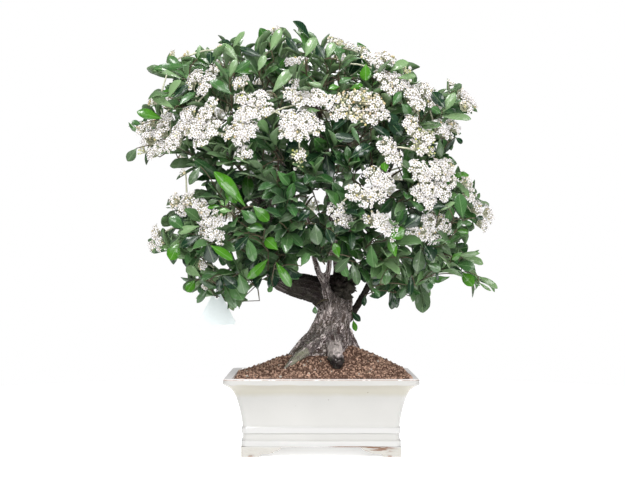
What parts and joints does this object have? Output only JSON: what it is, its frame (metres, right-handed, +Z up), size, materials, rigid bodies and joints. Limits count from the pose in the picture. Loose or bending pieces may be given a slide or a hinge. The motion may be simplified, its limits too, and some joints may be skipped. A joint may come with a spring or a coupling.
{
  "type": "firethorn bonsai",
  "caption": "Old firethorn bonsai in full white flower, with a thick left limb and a flared root base, in a cream glazed rectangular footed pot.",
  "frame": {"origin": "middle of the whole part's box, on the surface that the pot's feet stand on", "axes": "+Z up, the pictured front faces -Y, +X to the right seen from the front"},
  "size_m": [0.6072, 0.5026, 0.7151],
  "materials": {
    "foliage": "semi-gloss leaf",
    "blossom": "matte petals",
    "bark": "rough bark",
    "soil": "moist clay granules",
    "glaze": "glossy cream glaze",
    "drain_screen": "matte",
    "tag_card": "matte card",
    "tag_string": "matte"
  },
  "bodies": {
    "root": {"tag": "tag_card", "tag_tie": "tag_string", "bloom_left_arm": "blossom", "bloom_left_tip": "blossom", "bloom_left_upper": "blossom", "bloom_left_top": "blossom", "bloom_centre_left": "blossom", "bloom_centre_high": "blossom", "bloom_centre": "blossom", "bloom_centre_top": "blossom", "bloom_top": "blossom", "bloom_top_right": "blossom", "bloom_right_high": "blossom", "bloom_right_top": "blossom", "bloom_right_shoulder": "blossom", "bloom_right_tip": "blossom", "bloom_right_inner": "blossom", "bloom_right_middle": "blossom", "bloom_right_edge": "blossom", "bloom_front_right": "blossom", "bloom_front_low": "blossom", "bloom_right_low": "blossom", "bloom_left_low": "blossom", "bloom_left_skirt": "blossom", "bloom_back_left": "blossom", "bloom_back_top": "blossom", "bloom_back_right": "blossom", "leaf_spray_far_left": "foliage", "leaf_spray_left_high": "foliage", "leaf_spray_left_crest": "foliage", "leaf_spray_top": "foliage", "leaf_spray_top_front": "foliage", "leaf_spray_top_right": "foliage", "leaf_spray_right_crest": "foliage", "leaf_spray_right_tip": "foliage", "leaf_spray_far_right": "foliage", "leaf_spray_front_upper": "foliage", "leaf_spray_front_middle": "foliage", "leaf_spray_front_left": "foliage", "leaf_spray_low_left": "foliage", "leaf_spray_left_low_inner": "foliage", "leaf_spray_skirt_left": "foliage", "leaf_spray_skirt_inner": "foliage", "leaf_spray_front_low": "foliage", "leaf_spray_right_front": "foliage", "leaf_spray_right_skirt": "foliage", "leaf_spray_right_edge": "foliage", "leaf_spray_tip_right": "foliage", "leaf_spray_back_left": "foliage", "leaf_spray_back_low_left": "foliage", "leaf_spray_back_crest_left": "foliage", "leaf_spray_back_middle": "foliage", "leaf_spray_back_crest": "foliage", "leaf_spray_back_right": "foliage", "leaf_spray_back_low_right": "foliage", "tree": "bark", "soil": "soil", "pot": "glaze", "drain_screen_left": "drain_screen", "drain_screen_right": "drain_screen"}
  },
  "joints": []
}
